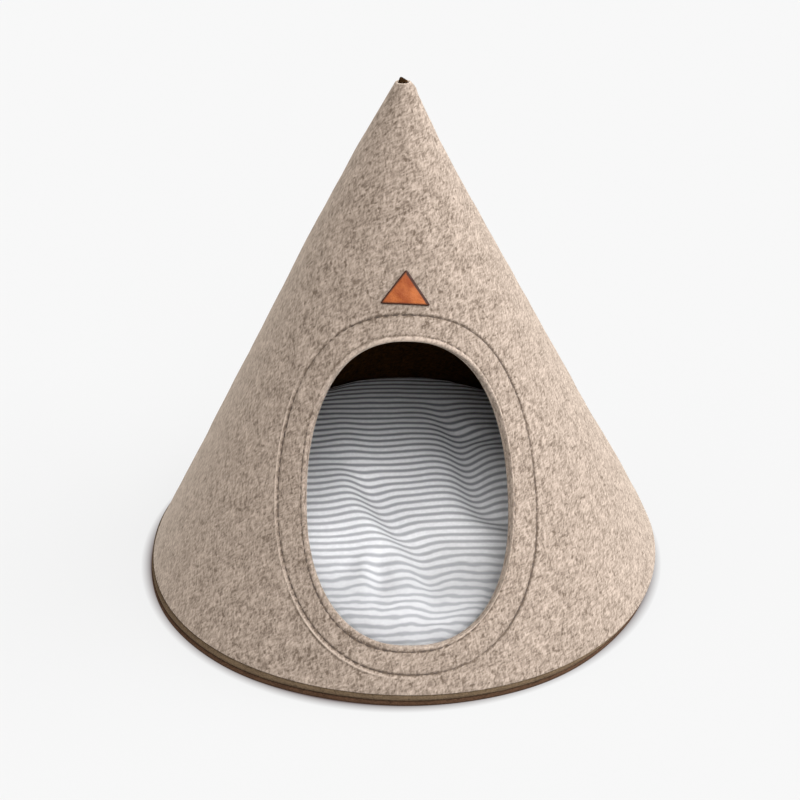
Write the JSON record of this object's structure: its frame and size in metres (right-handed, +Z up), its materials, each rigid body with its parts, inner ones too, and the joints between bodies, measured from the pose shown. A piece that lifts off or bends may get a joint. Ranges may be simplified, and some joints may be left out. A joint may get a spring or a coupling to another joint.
{
  "type": "felt cat cave",
  "caption": "Cone-shaped felt cat cave with an oval doorway, a small leather triangle above it, a round base and a striped cushion inside.",
  "frame": {"origin": "middle of the underside of the base, on the surface that the cave stands on", "axes": "+Z up along the cone, -Y out through the doorway, +X to the right of someone who faces the doorway"},
  "size_m": [0.4991, 0.5012, 0.4797],
  "materials": {
    "beige_felt": "matt heather felt, beige with light and dark fibres",
    "dark_felt": "matt dark brown felt",
    "rim_felt": "matt brown felt edge",
    "ticking": "matt woven cotton with narrow blue-grey and white stripes",
    "leather": "smooth orange-brown leather"
  },
  "bodies": {
    "root": {"outer_felt": "beige_felt", "doorway_facing": "beige_felt", "lining": "dark_felt", "foot_band": "rim_felt", "base": "rim_felt", "cushion": "ticking", "leather_patch": "leather"}
  },
  "joints": []
}
